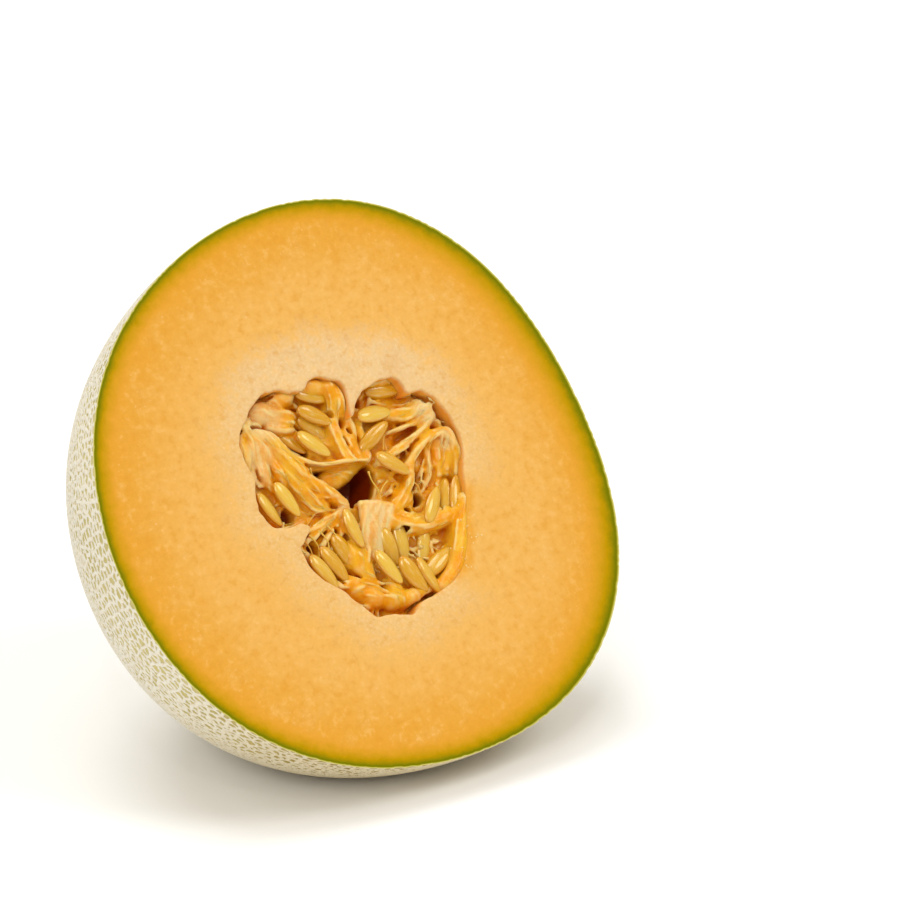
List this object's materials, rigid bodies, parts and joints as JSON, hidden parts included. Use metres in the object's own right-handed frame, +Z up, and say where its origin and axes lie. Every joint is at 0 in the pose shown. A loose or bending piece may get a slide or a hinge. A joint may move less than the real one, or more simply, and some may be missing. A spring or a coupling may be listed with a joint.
{
  "type": "cantaloupe melon half",
  "caption": "Half of a netted cantaloupe melon cut across its middle, leaning back on a flat ground spot, with orange flesh, seed masses in the open cavity and a stem scar behind.",
  "frame": {"origin": "middle of the flat ground spot, on the surface that the half rests on", "axes": "+Z is up, the cut face looks towards -Y and 34.2 degrees upwards, and +X is to the right as seen from in front of the cut face"},
  "size_m": [0.1456, 0.1158, 0.1332],
  "materials": {
    "rind": "cream corky net over olive green skin, matte",
    "pulp": "wet glossy orange pulp with cream seeds"
  },
  "bodies": {
    "root": {"melon_half": "rind", "seed_mass_left": "pulp", "seed_mass_right": "pulp", "seed_mass_lower": "pulp"}
  },
  "joints": []
}
